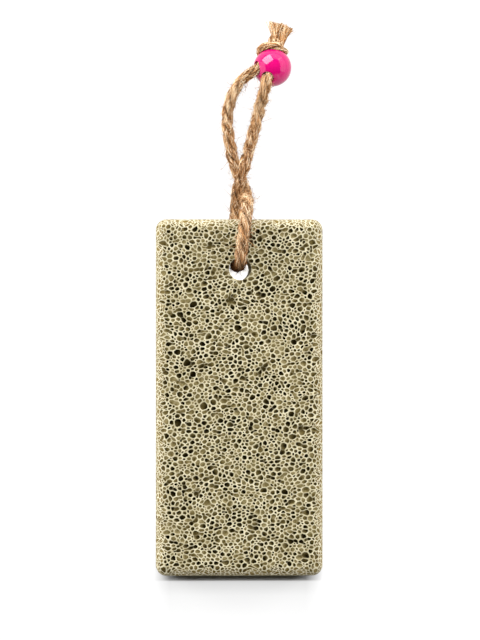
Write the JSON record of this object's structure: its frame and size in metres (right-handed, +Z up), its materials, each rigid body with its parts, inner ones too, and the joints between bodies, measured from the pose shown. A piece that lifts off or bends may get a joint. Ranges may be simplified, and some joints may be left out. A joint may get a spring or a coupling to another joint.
{
  "type": "pumice stone",
  "caption": "Rounded rectangular slab of pitted pumice for rubbing skin, with a hanging loop of jute twine through its hole, drawn together by a glossy pink bead and a knot.",
  "frame": {"origin": "on the surface that the slab lies on, under the middle of the slab's bounding box; the twine, knot and bead don't count", "axes": "+Y along the slab, towards its hole and the twine; +Z up, out of the slab's front face, which the run of twine under the slab tips back by 2.6 degrees; +X to the right as seen from above with the twine at the top"},
  "size_m": [0.047, 0.1589, 0.0278],
  "materials": {
    "foamed_rock": "matte",
    "jute": "matte",
    "pink_plastic": "gloss"
  },
  "bodies": {
    "root": {"pumice_stone": "foamed_rock", "twine_loop": "jute", "twine_knot": "jute", "bead": "pink_plastic"}
  },
  "joints": []
}
